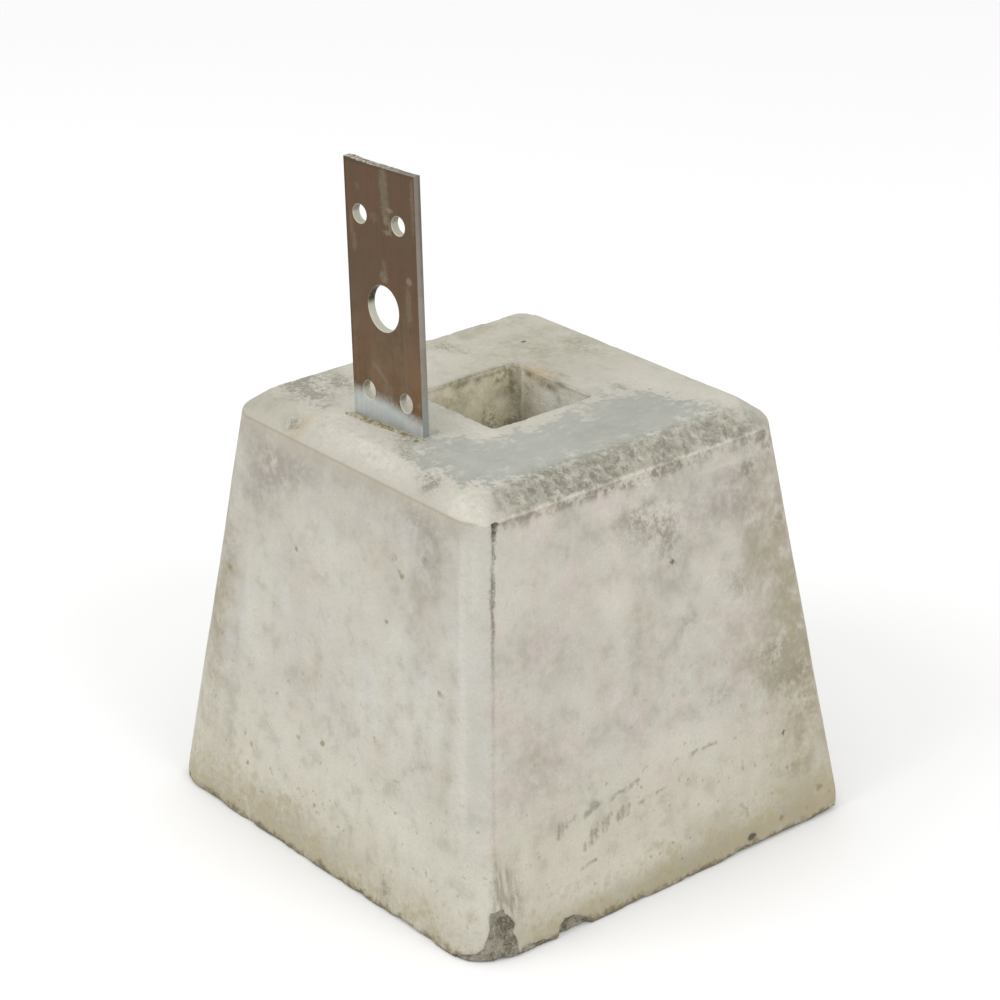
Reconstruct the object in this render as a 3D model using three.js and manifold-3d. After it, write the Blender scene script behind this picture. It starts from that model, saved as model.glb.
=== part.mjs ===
// Column base block: a tapered block of cast concrete with a square mortise in its top and a flat steel strap
// cast into it, which a timber post is nailed and bolted to. Millimetres, +Z up. The origin is the middle of
// the underside. The strap stands near the -Y side.

import * as THREE from 'three';
import { mergeVertices } from 'three/addons/utils/BufferGeometryUtils.js';
import Module from 'manifold-3d';

// Block: widths at the foot, at the shoulder (the foot of the top bevel) and of the flat seat
const blockHeight = 150;
const footWidthX = 173.4;
const footWidthY = 170.8;
const shoulderWidthX = 131.4;
const shoulderWidthY = 134.2;
const seatWidthX = 115.8;
const seatWidthY = 117.6;
const bevelHeight = 6.4;
// The top came out of its mould a little off the middle of the foot
const topShiftX = -0.85;
const topShiftY = -1.2;

// The four upright corners are cut off by a narrow bowed strip, wider on the -Y and +Y sides
const footCornerX = 13.5;
const footCornerY = 6.2;
const shoulderCornerX = 7.6;
const shoulderCornerY = 6;
const seatCornerX = 4.5;
const seatCornerY = 4;
const cornerBow = 0.45;
const cornerSteps = 4;
// The corners at both ends of the diagonal that faces away from the broken one are worn rounder than the other
// two, by this much more along each side: the right one is +X +Y, the left one -X -Y
const rightCornerWearFoot = 2.1;
const rightCornerWearTop = 3.2;
const leftCornerWearFoot = 0.4;
const leftCornerWearTop = 2.5;

// The shoulder's edge is worn away from this far below it, on the wall, to this far above it, on the bevel
const shoulderWearBelow = 1.8;
const shoulderWearAbove = 0.9;

// Worn lower edge, all round
const rimHeight = 1.6;
const rimInset = 1.1;

// Mortise for the tenon of the post
const mortiseWidthX = 41;
const mortiseWidthY = 44;
const mortiseDepth = 50;
const mortiseCornerCut = 1.8;
const mortiseFromSeatMiddleX = -1.2;
const mortiseFromSeatMiddleY = 1;

// Strap
const strapWidth = 32.4;
const strapThickness = 3;
const strapRise = 88.5;
const strapEmbedment = 60;
const strapToMortise = 21.3;
const strapFromMortiseX = -4;
const strapTwist = 5.6;
const strapLeanSideways = 1.04;
const strapLeanOut = 0.42;
const strapClearance = 0.3;

// Holes of the strap, heights above the seat
const nailHoleDiameter = 6.2;
const nailHoleSpacing = 17.6;
const lowerNailHeight = 10.1;
const upperNailHeight = 70.6;
// The two rows of nail holes were punched a little out of line with the edges of the strap
const lowerNailShift = 0.3;
const upperNailShift = -0.6;
const boltHoleDiameter = 15.3;
const boltHeight = 40.6;
const nailHoleSegments = 20;
const boltHoleSegments = 36;

// Broken corner at the foot, where the -Y and +X sides meet, and the scoop out of the +X side's lower edge
const brokenCornerReachX = 6.6;
const brokenCornerReachY = 10;
const brokenCornerReachZ = 20;
const brokenCornerOutX = 3.4;
const brokenCornerInY = 5.2;
const scoopReachX = 3.2;
const scoopReachY = 7.6;
const scoopReachZ = 6;
const scoopAlong = -45.2;
const cutOverrun = 5;

const wasm = await Module();
wasm.setup();

function toSolid(geometry) {
  const bare = geometry.clone();
  bare.deleteAttribute('normal');
  bare.deleteAttribute('uv');
  const merged = mergeVertices(bare, 1e-4);
  return new wasm.Manifold(new wasm.Mesh({
    numProp: 3,
    vertProperties: new Float32Array(merged.getAttribute('position').array),
    triVerts: new Uint32Array(merged.index.array),
  }));
}

function toGeometry(solid) {
  const mesh = solid.getMesh();
  const geometry = new THREE.BufferGeometry();
  geometry.setAttribute('position', new THREE.BufferAttribute(mesh.vertProperties, 3));
  geometry.setIndex(new THREE.BufferAttribute(mesh.triVerts, 1));
  geometry.computeVertexNormals();
  return geometry;
}

// Outline of the block at one height, anticlockwise from +X: a rectangle whose corners are cut off from
// cornerX along the X edges to cornerY along the Y edges, and as much further as each corner is worn, by a
// curve bowed towards the lost corner
function outlineAt(z, widthX, widthY, cornerX, cornerY, rightWear, leftWear, middleX, middleY) {
  const points = [];
  const quarters = [[1, -1, 0], [1, 1, rightWear], [-1, 1, 0], [-1, -1, leftWear]];
  for (const [sideX, sideY, wear] of quarters) {
    const corner = new THREE.Vector2(sideX * widthX / 2, sideY * widthY / 2);
    const onEdgeAlongX = new THREE.Vector2(corner.x - sideX * (cornerX + wear), corner.y);
    const onEdgeAlongY = new THREE.Vector2(corner.x, corner.y - sideY * (cornerY + wear));
    const pull = onEdgeAlongX.clone().add(onEdgeAlongY).multiplyScalar(0.5).lerp(corner, cornerBow);
    const startsAlongX = sideX * sideY < 0;
    const curve = new THREE.QuadraticBezierCurve(
      startsAlongX ? onEdgeAlongX : onEdgeAlongY,
      pull,
      startsAlongX ? onEdgeAlongY : onEdgeAlongX,
    );
    for (const point of curve.getPoints(cornerSteps)) {
      points.push(new THREE.Vector3(point.x + middleX, point.y + middleY, z));
    }
  }
  return points;
}

// Outline at a height between two others
function outlineBetween(lower, upper, z) {
  const share = (z - lower[0].z) / (upper[0].z - lower[0].z);
  return lower.map((point, i) => point.clone().lerp(upper[i], share));
}

// Closed skin over a stack of outlines with equal numbers of points
function loftOutlines(outlines) {
  const count = outlines[0].length;
  const last = (outlines.length - 1) * count;
  const faces = [];
  for (let level = 0; level + 1 < outlines.length; level += 1) {
    for (let i = 0; i < count; i += 1) {
      const a = level * count + i;
      const b = level * count + (i + 1) % count;
      faces.push(a, b, b + count, a, b + count, a + count);
    }
  }
  for (let i = 1; i + 1 < count; i += 1) {
    faces.push(0, i + 1, i);
    faces.push(last, last + i, last + i + 1);
  }
  const geometry = new THREE.BufferGeometry().setFromPoints(outlines.flat());
  geometry.setIndex(faces);
  return geometry;
}

// Rough lump that leaves a broken hollow where it is cut away: a ball, dented by three crossed waves
function roughLump(reachX, reachY, reachZ) {
  const geometry = new THREE.IcosahedronGeometry(1, 3);
  const position = geometry.getAttribute('position');
  const point = new THREE.Vector3();
  for (let i = 0; i < position.count; i += 1) {
    point.fromBufferAttribute(position, i);
    const waves = Math.sin(4.1 * point.x + 1.3) + Math.sin(5.3 * point.y + 0.4) + Math.sin(4.7 * point.z + 2.2);
    point.multiplyScalar(1 + 0.07 * waves);
    position.setXYZ(i, point.x * reachX, point.y * reachY, point.z * reachZ);
  }
  return geometry;
}

function shiftedSolid(geometry, x, y, z) {
  return toSolid(geometry.clone().translate(x, y, z));
}

const mortiseX = topShiftX + mortiseFromSeatMiddleX;
const mortiseY = topShiftY + mortiseFromSeatMiddleY;
const footCornerAtX = footWidthX / 2;
const footCornerAtY = -footWidthY / 2;

// Frame of the strap: its origin is on the seat, in the middle of the face that looks at the mortise
const strapFrame = new THREE.Matrix4().makeTranslation(
  mortiseX + strapFromMortiseX,
  mortiseY - mortiseWidthY / 2 - strapToMortise,
  blockHeight,
);
strapFrame.multiply(new THREE.Matrix4().makeRotationZ(THREE.MathUtils.degToRad(strapTwist)));
strapFrame.multiply(new THREE.Matrix4().makeRotationX(THREE.MathUtils.degToRad(strapLeanOut)));
strapFrame.multiply(new THREE.Matrix4().makeRotationY(THREE.MathUtils.degToRad(-strapLeanSideways)));

function buildBlock() {
  const shoulderHeight = blockHeight - bevelHeight;
  const soleWidthX = footWidthX - 2 * rimInset;
  const soleWidthY = footWidthY - 2 * rimInset;
  const sole = outlineAt(
    0,
    soleWidthX,
    soleWidthY,
    footCornerX,
    footCornerY,
    rightCornerWearFoot,
    leftCornerWearFoot,
    0,
    0,
  );
  const foot = outlineAt(
    rimHeight,
    footWidthX,
    footWidthY,
    footCornerX,
    footCornerY,
    rightCornerWearFoot,
    leftCornerWearFoot,
    0,
    0,
  );
  const shoulder = outlineAt(
    shoulderHeight,
    shoulderWidthX,
    shoulderWidthY,
    shoulderCornerX,
    shoulderCornerY,
    rightCornerWearTop,
    leftCornerWearTop,
    topShiftX,
    topShiftY,
  );
  const seat = outlineAt(
    blockHeight,
    seatWidthX,
    seatWidthY,
    seatCornerX,
    seatCornerY,
    rightCornerWearTop,
    leftCornerWearTop,
    topShiftX,
    topShiftY,
  );
  const body = toSolid(loftOutlines([
    sole,
    foot,
    outlineBetween(foot, shoulder, shoulderHeight - shoulderWearBelow),
    outlineBetween(shoulder, seat, shoulderHeight + shoulderWearAbove),
    seat,
  ]));

  const halfX = mortiseWidthX / 2;
  const halfY = mortiseWidthY / 2;
  const innerX = halfX - mortiseCornerCut;
  const innerY = halfY - mortiseCornerCut;
  const mortiseOutline = new THREE.Shape([
    new THREE.Vector2(halfX, -innerY),
    new THREE.Vector2(halfX, innerY),
    new THREE.Vector2(innerX, halfY),
    new THREE.Vector2(-innerX, halfY),
    new THREE.Vector2(-halfX, innerY),
    new THREE.Vector2(-halfX, -innerY),
    new THREE.Vector2(-innerX, -halfY),
    new THREE.Vector2(innerX, -halfY),
  ]);
  const mortise = new THREE.ExtrudeGeometry(mortiseOutline, {
    depth: mortiseDepth + cutOverrun,
    bevelEnabled: false,
  });

  const slotDepth = strapEmbedment + strapClearance;
  const slot = new THREE.BoxGeometry(
    strapWidth + 2 * strapClearance,
    strapThickness + 2 * strapClearance,
    slotDepth + cutOverrun,
  );
  slot.translate(0, -strapThickness / 2, (cutOverrun - slotDepth) / 2);
  slot.applyMatrix4(strapFrame);

  return body
    .subtract(shiftedSolid(mortise, mortiseX, mortiseY, blockHeight - mortiseDepth))
    .subtract(toSolid(slot))
    .subtract(shiftedSolid(
      roughLump(brokenCornerReachX, brokenCornerReachY, brokenCornerReachZ),
      footCornerAtX + brokenCornerOutX,
      footCornerAtY + brokenCornerInY,
      0,
    ))
    .subtract(shiftedSolid(roughLump(scoopReachX, scoopReachY, scoopReachZ), footCornerAtX, scoopAlong, 0));
}

function buildStrap() {
  const outline = new THREE.Shape([
    new THREE.Vector2(-strapWidth / 2, -strapEmbedment),
    new THREE.Vector2(strapWidth / 2, -strapEmbedment),
    new THREE.Vector2(strapWidth / 2, strapRise),
    new THREE.Vector2(-strapWidth / 2, strapRise),
  ]);
  const strap = new THREE.ExtrudeGeometry(outline, { depth: strapThickness, bevelEnabled: false });
  strap.rotateX(Math.PI / 2);

  const holes = [{ x: 0, z: boltHeight, diameter: boltHoleDiameter, segments: boltHoleSegments }];
  for (const row of [
    { z: lowerNailHeight, shift: lowerNailShift },
    { z: upperNailHeight, shift: upperNailShift },
  ]) {
    for (const side of [-1, 1]) {
      holes.push({
        x: side * nailHoleSpacing / 2 + row.shift,
        z: row.z,
        diameter: nailHoleDiameter,
        segments: nailHoleSegments,
      });
    }
  }

  let solid = toSolid(strap);
  for (const hole of holes) {
    const drill = new THREE.CylinderGeometry(
      hole.diameter / 2,
      hole.diameter / 2,
      strapThickness + 2 * cutOverrun,
      hole.segments,
    );
    solid = solid.subtract(shiftedSolid(drill, hole.x, -strapThickness / 2, hole.z));
  }
  return solid;
}

const concrete = new THREE.MeshStandardMaterial({ color: 0xc4beb2, roughness: 0.93, metalness: 0 });
const steel = new THREE.MeshStandardMaterial({ color: 0x7d6a5e, roughness: 0.38, metalness: 0.85 });

const block = new THREE.Mesh(toGeometry(buildBlock()), concrete);
block.name = 'concrete_block';

const strap = new THREE.Mesh(toGeometry(buildStrap()), steel);
strap.name = 'strap_plate';
strap.applyMatrix4(strapFrame);

const columnBase = new THREE.Group();
columnBase.add(block, strap);

export default columnBase;
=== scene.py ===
import math

import bpy
import numpy as np
from mathutils import Matrix, Vector


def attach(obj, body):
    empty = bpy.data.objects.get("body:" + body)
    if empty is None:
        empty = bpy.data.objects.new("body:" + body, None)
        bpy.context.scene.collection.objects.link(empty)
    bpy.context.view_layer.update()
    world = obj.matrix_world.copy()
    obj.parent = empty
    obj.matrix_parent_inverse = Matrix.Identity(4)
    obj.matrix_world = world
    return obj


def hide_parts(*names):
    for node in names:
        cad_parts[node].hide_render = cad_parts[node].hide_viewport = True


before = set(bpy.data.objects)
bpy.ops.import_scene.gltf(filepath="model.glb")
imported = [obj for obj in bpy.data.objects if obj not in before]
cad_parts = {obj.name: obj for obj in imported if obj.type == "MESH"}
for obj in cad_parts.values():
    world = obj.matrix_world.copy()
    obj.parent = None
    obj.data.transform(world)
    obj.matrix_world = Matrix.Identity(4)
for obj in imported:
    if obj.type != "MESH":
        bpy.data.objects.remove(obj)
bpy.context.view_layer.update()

# A weathered column base block of cast concrete with a punched steel strap cast upright into its top.
# Lengths are in millimetres until a mesh is made, then in metres.

# One millimetre in metres
MM = 0.001

BLOCK_HEIGHT = 150.0
SHOULDER_HEIGHT = 143.6
TOP_MIDDLE = (-0.85, -1.2)
MORTISE_MIDDLE = (-2.05, -0.2)
MORTISE_HALF_X, MORTISE_HALF_Y = 20.5, 22.0
MORTISE_FLOOR = 100.0
FOOT_HALF_X, FOOT_HALF_Y = 86.7, 85.4
SHOULDER_HALF_X, SHOULDER_HALF_Y = 65.7, 67.1
SEAT_HALF_X, SEAT_HALF_Y = 57.9, 58.8

STRAP_WIDTH = 32.4
STRAP_THICKNESS = 3.0
STRAP_TOP = 88.5
STRAP_BOTTOM = -60.0
# Each hole: place across, height, half width and half height
BOLT_HOLE = (-0.1, 40.6, 7.05, 7.8)
NAIL_HOLES = [
    (-8.5, 10.5, 2.8, 3.15), (8.9, 10.1, 2.85, 3.2), (-9.5, 70.8, 3.1, 3.15), (8.3, 70.3, 2.95, 3.15),
]
STRAP_FRAME = (
    Matrix.Translation((-6.05, -43.5, BLOCK_HEIGHT))
    @ Matrix.Rotation(math.radians(5.6), 4, "Z")
    @ Matrix.Rotation(math.radians(0.42), 4, "X")
    @ Matrix.Rotation(math.radians(-1.04), 4, "Y")
)


# Numbers


def lattice(cell, seed):
    """One repeatable number from -1 to 1 for each whole-numbered cell: the cell's three counts are
    multiplied by large odd numbers, summed and scrambled."""
    x, y, z = (cell[..., k].astype(np.int64) for k in range(3))
    h = (x * 374761393 + y * 668265263 + z * 1440662683 + seed * 974634777) & 0xFFFFFFFF
    h = ((h ^ (h >> 13)) * 1274126177) & 0xFFFFFFFF
    h = ((h ^ (h >> 16)) * 2246822519) & 0xFFFFFFFF
    return ((h ^ (h >> 15)) & 0xFFFFFF) / float(0x7FFFFF) - 1.0


def grain(points, size, seed):
    """Smooth lumps about size across, from -1 to 1: the numbers of the eight cells round a point, mixed
    by the eased distance to each."""
    q = points / size
    cell = np.floor(q)
    t = q - cell
    t = t * t * (3.0 - 2.0 * t)
    total = 0.0
    for dx in (0, 1):
        for dy in (0, 1):
            for dz in (0, 1):
                share = (
                    (t[..., 0] if dx else 1.0 - t[..., 0])
                    * (t[..., 1] if dy else 1.0 - t[..., 1])
                    * (t[..., 2] if dz else 1.0 - t[..., 2])
                )
                total = total + share * lattice(cell + np.array((dx, dy, dz)), seed)
    return total


def rough_grain(points, size, seed):
    """Three sizes of grain on top of each other, each half as wide and half as strong as the last."""
    return (
        grain(points, size, seed)
        + 0.5 * grain(points, size / 2, seed + 1)
        + 0.25 * grain(points, size / 4, seed + 2)
    ) / 1.5


def ease(value, low, high):
    """0 below low, 1 above high, and a smooth S between."""
    t = np.clip((value - low) / (high - low), 0.0, 1.0)
    return t * t * (3.0 - 2.0 * t)


def bell(value, reach):
    """1 at 0, falling off to both sides: the power of e whose exponent is minus the square of value by
    reach."""
    return np.exp(-((value / reach) ** 2))


# Meshes


def grid_faces(rows, columns, first=0, wrapped=True):
    """Four-cornered faces of a grid of points. In a wrapped grid the last column joins the first."""
    r, c = np.meshgrid(np.arange(rows - 1), np.arange(columns if wrapped else columns - 1), indexing="ij")
    a = first + r * columns + c
    b = first + r * columns + (c + 1) % columns
    return np.stack([a, b, b + columns, a + columns], -1).reshape(-1, 4)


def make_object(name, points, faces):
    """Smooth-shaded object from points in millimetres and a list of faces; the object sits at the
    origin."""
    mesh = bpy.data.meshes.new(name)
    mesh.from_pydata((np.asarray(points) * MM).tolist(), [], faces)
    mesh.validate()
    mesh.shade_smooth()
    made = bpy.data.objects.new(name, mesh)
    bpy.context.scene.collection.objects.link(made)
    return made


def give_numbers(made, name, values):
    """Stores one number for each point of the mesh, for the material to read."""
    attribute = made.data.attributes.new(name, "FLOAT", "POINT")
    attribute.data.foreach_set("value", np.asarray(values, dtype=np.float32).ravel())


# The block

# Straight sides of the outline: how many steps, and how much these crowd to the start or, below 0, the end
SIDE_RUNS = ((150, 1.3), (66, 1.0), (66, 1.0), (150, -1.3))
SEAM_STRIP_COLUMNS = 17
STRIP_COLUMNS = 8
CORNER_BOW = 0.45
# Millimetres taken off a distance where a mark can't lie
ELSEWHERE = 9.0


def outline(z, half_x, half_y, cuts, middle):
    """The block's closed outline at height z. Its corners are bowed strips, each a quadratic Bezier curve
    from one side to the next whose middle point is pulled part of the way to the lost corner. Its sides
    are straight runs, whose points crowd towards the corner between -Y and +X. The four cuts begin at
    that corner."""
    strips = []
    for k, (side_x, side_y) in enumerate(((1, -1), (1, 1), (-1, 1), (-1, -1))):
        corner = np.array((side_x * half_x, side_y * half_y))
        on_x = corner - np.array((side_x * cuts[k][0], 0.0))
        on_y = corner - np.array((0.0, side_y * cuts[k][1]))
        start, end = (on_x, on_y) if side_x * side_y < 0 else (on_y, on_x)
        pull = (on_x + on_y) / 2 * (1 - CORNER_BOW) + corner * CORNER_BOW
        t = np.linspace(0.0, 1.0, SEAM_STRIP_COLUMNS if k == 0 else STRIP_COLUMNS)[:, None]
        strips.append((1 - t) ** 2 * start + 2 * t * (1 - t) * pull + t**2 * end)
    parts = []
    for i, (count, crowding) in enumerate(SIDE_RUNS):
        share = np.arange(1, count) / count
        share = share**crowding if crowding > 0 else 1 - (1 - share) ** -crowding
        run = strips[i][-1] + (strips[(i + 1) % 4][0] - strips[i][-1]) * share[:, None]
        parts += [strips[i], run]
    flat = np.concatenate(parts) + np.array(middle)
    return np.column_stack([flat, np.full(len(flat), z)])


def towards(start, end, distance):
    """The points of one outline moved by distance towards those of the next, but never past the middle."""
    gap = end - start
    return start + gap * np.minimum(distance / (np.linalg.norm(gap, axis=1) + 1e-9), 0.49)[:, None]


def block_rows():
    """Every outline of the block's skin, from the middle of the underside out to the foot's edge, up the
    wall, over the bevel and the seat, down the mortise and to the middle of its floor. Between two of the
    main outlines the points run straight, and at each of them a quadratic Bezier rounds the worn edge.
    Also returns how far along the way each row is: 1 is the foot's edge, 2 the shoulder, 3 the seat's
    edge, 4 the mortise's edge and 5 its floor's edge."""
    foot_cuts = ((13.5, 6.2), (15.5, 8.5), (13.5, 6.2), (13.8, 6.8))
    shoulder_cuts = ((7.6, 6.0), (11.0, 9.0), (7.6, 6.0), (10.4, 8.2))
    seat_cuts = ((4.5, 4.0), (8.0, 7.0), (5.0, 4.5), (7.0, 6.2))
    small_cuts = ((0.1, 0.1),) * 4
    mortise_cuts = ((1.6, 1.6), (2.0, 2.0), (2.0, 2.0), (2.0, 2.0))
    keys = [
        outline(0.0, 0.5, 0.5, small_cuts, (0, 0)),
        outline(0.0, FOOT_HALF_X, FOOT_HALF_Y, foot_cuts, (0, 0)),
        outline(SHOULDER_HEIGHT, SHOULDER_HALF_X, SHOULDER_HALF_Y, shoulder_cuts, TOP_MIDDLE),
        outline(BLOCK_HEIGHT, SEAT_HALF_X, SEAT_HALF_Y, seat_cuts, TOP_MIDDLE),
        outline(BLOCK_HEIGHT, MORTISE_HALF_X, MORTISE_HALF_Y, mortise_cuts, MORTISE_MIDDLE),
        outline(MORTISE_FLOOR, MORTISE_HALF_X, MORTISE_HALF_Y, mortise_cuts, MORTISE_MIDDLE),
        outline(MORTISE_FLOOR, 0.5, 0.5, small_cuts, MORTISE_MIDDLE),
    ]
    rounding = [None, (1.2, 1.3), (0.9, 0.8), (0.8, 0.8), (0.7, 0.9), (2.0, 2.0), None]
    runs = [6, 102, 9, 29, 28, 4]
    bends = [None, 5, 4, 4, 5, 3, None]
    crowd = [1.0, 1.2, 1.0, 1.0, 1.6, 1.0]
    rows, way = [keys[0]], [0.0]
    before = keys[0]
    for i in range(1, len(keys)):
        last = i == len(keys) - 1
        after = keys[i] if last else towards(keys[i], keys[i - 1], rounding[i][0])
        for step in range(1, runs[i - 1] + 1):
            share = (step / runs[i - 1]) ** crowd[i - 1]
            rows.append(before + (after - before) * share)
            way.append(i - 1 + share * 0.97)
        if not last:
            leaving = towards(keys[i], keys[i + 1], rounding[i][1])
            for step in range(1, bends[i] + 1):
                t = step / bends[i]
                rows.append((1 - t) ** 2 * after + 2 * t * (1 - t) * keys[i] + t**2 * leaving)
                way.append(i - 0.03 + 0.06 * t)
            before = leaving
    return np.array(rows), np.array(way)


def grid_normals(points):
    """Unit directions square to a wrapped grid: its column step crossed with its row step."""
    along = np.roll(points, -1, axis=1) - np.roll(points, 1, axis=1)
    up = np.gradient(points, axis=0)
    normal = np.cross(along, up)
    return normal / (np.linalg.norm(normal, axis=2, keepdims=True) + 1e-12)


def polygon_distance(x, y, corners):
    """Distance to the edge of a polygon, positive inside it: the least distance to its edges, signed by the
    number of edges that a ray crosses."""
    corners = np.array(corners, dtype=float)
    least = np.full(x.shape, 1e9)
    inside = np.zeros(x.shape, dtype=bool)
    for a, b in zip(corners, np.roll(corners, -1, axis=0)):
        edge = b - a
        t = np.clip(((x - a[0]) * edge[0] + (y - a[1]) * edge[1]) / (edge @ edge), 0, 1)
        least = np.minimum(least, np.hypot(x - a[0] - t * edge[0], y - a[1] - t * edge[1]))
        if a[1] != b[1]:
            inside ^= ((a[1] > y) != (b[1] > y)) & (x < edge[0] * (y - a[1]) / edge[1] + a[0])
    return np.where(inside, least, -least)


def pen_distance(x, y, start, end):
    """Distance to the straight stroke from start to end."""
    edge = np.array(end, dtype=float) - np.array(start)
    t = np.clip(((x - start[0]) * edge[0] + (y - start[1]) * edge[1]) / (edge @ edge), 0, 1)
    return np.hypot(x - start[0] - t * edge[0], y - start[1] - t * edge[1])


# Marks on the concrete: for each tone, where they are, how far they reach and how strong they are.
# On the -Y wall the place is x and z, on the +X wall y and z, on the top x and y.
LEFT_WALL_MARKS = {
    "mauve": [
        (-38, 129, 11, 7, 0.85), (-46, 120, 10, 6, 0.5), (-24, 136, 14, 4, 0.4), (47, 128, 8, 14, 0.5),
        (-58, 96, 5, 9, 0.4), (5, 60, 12, 6, 0.15), (40, 105, 6, 16, 0.35), (-52, 140, 9, 4, 0.5),
        (20, 140, 20, 3, 0.3), (-8, 134, 62, 9, 0.3), (-66, 84, 13, 44, 0.25),
    ],
    "olive": [
        (-71, 84, 6, 44, 0.4), (-64, 70, 6, 32, 0.5), (-60, 30, 9, 14, 0.3), (-13, 64, 10, 6, 0.25),
        (28, 44, 9, 7, 0.25), (61, 60, 4, 15, 0.3), (-60, 88, 6, 2, 0.5), (10, 12, 50, 5, 0.35),
        (20, 22, 22, 6, 0.2), (46, 120, 5, 16, 0.25),
    ],
    "pale": [
        (42, 32, 14, 9, 0.55), (64, 128, 4, 16, 0.5), (71, 57, 3, 3, 0.7), (-46, 78, 5, 4, 0.4),
        (-6, 132, 9, 5, 0.3), (-22, 14, 4, 3, 0.4), (0, 90, 34, 22, 0.2), (66, 90, 3, 55, 0.35),
        (-18, 116, 12, 8, 0.25),
    ],
    "grime": [
        (38, 138, 7, 4, 0.35), (36, 7, 3, 4, 0.5), (-42, 134, 6, 4, 0.2), (-30, 53, 2, 1, 0.5),
        (28, 121, 1.4, 2, 0.55), (42, 126, 1.6, 2.4, 0.55),
    ],
}
RIGHT_WALL_MARKS = {
    "grime": [
        (5, 125, 10, 8, 0.42), (-4, 129, 9, 5, 0.3), (11, 117, 6, 7, 0.3), (9, 141, 16, 2.4, 0.6),
        (58, 139, 6, 4, 0.6), (47, 132, 4, 3, 0.7), (53, 66, 6, 4, 0.4), (62, 56, 12, 5, 0.35),
        (60, 112, 3, 5, 0.5), (39, 93, 5, 5, 0.25), (-68, 19, 3, 9, 0.35), (27, 59, 6, 3, 0.3),
        (15, 88, 4, 3, 0.35), (-20, 141.5, 40, 1.6, 0.5), (60, 142, 14, 1.6, 0.6),
    ],
    "streak": [
        (-73.9, 31, 1.2, 7, 0.8), (-74.2, 23, 1.4, 6, 1.2), (-75.9, 20.5, 1.2, 2, 1.2),
        (-70.6, 26, 1.6, 9, 0.5), (-68.2, 21, 2.4, 8, 0.5), (-71.6, 19.5, 2.2, 4, 0.8),
    ],
    "mauve": [
        (56, 96, 18, 42, 0.3), (40, 60, 20, 20, 0.15), (30, 128, 18, 12, 0.5), (-45, 92, 20, 20, 0.4),
        (0, 78, 24, 16, 0.3), (-50, 57, 17, 8, 0.4), (-30, 130, 26, 10, 0.2), (10, 108, 12, 10, 0.35),
        (-48, 40, 10, 6, 0.3), (44, 120, 12, 16, 0.4), (-12, 60, 12, 8, 0.25),
    ],
    "olive": [
        (64, 44, 16, 30, 0.3), (66, 84, 15, 58, 0.75), (48, 105, 9, 14, 0.4), (18, 16, 11, 5, 0.4),
        (40, 70, 10, 12, 0.3), (0, 6, 70, 5, 0.5), (60, 20, 14, 14, 0.35), (58, 62, 14, 8, 0.45),
        (-50, 62, 9, 12, 0.25), (-5, 92, 8, 10, 0.25),
    ],
    "pale": [
        (-15, 104, 7, 7, 0.5), (26, 100, 6, 5, 0.45), (10, 48, 17, 7, 0.5), (-25, 14, 30, 7, 0.35),
        (-47, 82, 9, 6, 0.3), (38, 136, 14, 1.5, 0.5), (70, 20, 4, 12, 0.35), (5, 70, 8, 6, 0.3),
        (-55, 118, 10, 12, 0.3), (-32, 78, 8, 14, 0.3), (22, 84, 6, 4, 0.4), (38, 108, 4, 7, 0.35),
    ],
}
TOP_MARKS = {
    "olive": [
        (-28, 30, 26, 26, 0.4), (-18, 48, 24, 10, 0.2), (-50, -62, 14, 5, 0.35), (-30, -64.5, 2.6, 6, 0.5),
        (-56, 30, 6, 30, 0.35), (-6, 24, 8, 2.5, 0.7), (22, 5, 3, 22, 0.25),
    ],
    "orange": [(-30, -64.5, 1.8, 5, 0.6), (-8, 22.6, 6, 1.6, 0.8), (-15, 22.4, 3, 1.2, 0.5)],
    "grime": [
        (-49, -48, 10, 8, 0.7), (-46, -34, 8, 5, 0.65), (-39, -50, 7, 6, 0.4), (8, -47, 6, 5, 0.7),
        (16, -56, 6, 3, 0.35), (25, -58, 6, 2.5, 0.7), (-56, -44, 4, 10, 0.5), (-34, -64.5, 4, 2.5, 0.8),
        (-33, -54, 4, 3, 0.4), (-50, 12, 5, 4, 0.6), (-40, 15, 5, 2.5, 0.35), (17, 34, 5, 2, 0.5),
        (22, 31, 5, 2, 0.3), (-2, 26, 4, 1.5, 0.4), (44, 41, 7, 3, 0.4), (36.5, -62.5, 3.4, 3, 1.0),
        (31, -61, 3, 2, 0.5), (14, -53, 5, 4, 0.3), (-1, -41, 7, 4, 0.4), (9, -46, 6, 4, 0.55),
        (22, -57.5, 7, 2, 0.6), (-20, 50, 12, 4, 0.25), (-27, 34, 4, 2, 0.35),
    ],
    "mould": [
        (62, 5, 7, 40, 1.0), (62, 40, 6, 10, 0.6), (61, -34, 7, 15, 1.0), (58, -51, 5, 5, 0.35),
        (38, -57, 7, 3, 0.35),
    ],
    "pale": [
        (0, -62, 34, 6, 0.5), (57, -64, 10, 5, 1.0), (-16, -54, 20, 5, 1.1), (22, 0, 4, 24, 0.8),
        (14, -26, 18, 4, 0.8), (-46, -2, 12, 16, 0.4), (8, 27, 12, 3, 0.3), (20, 44, 16, 6, 0.5),
        (50, 51, 12, 5, 0.5), (14, -61, 20, 5, 0.4), (52, -54, 5, 1.6, 0.9),
    ],
    "moss": [(-22.5, 2, 1.6, 12, 0.5), (-22.5, 16, 1.8, 6, 0.6)],
}
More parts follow.
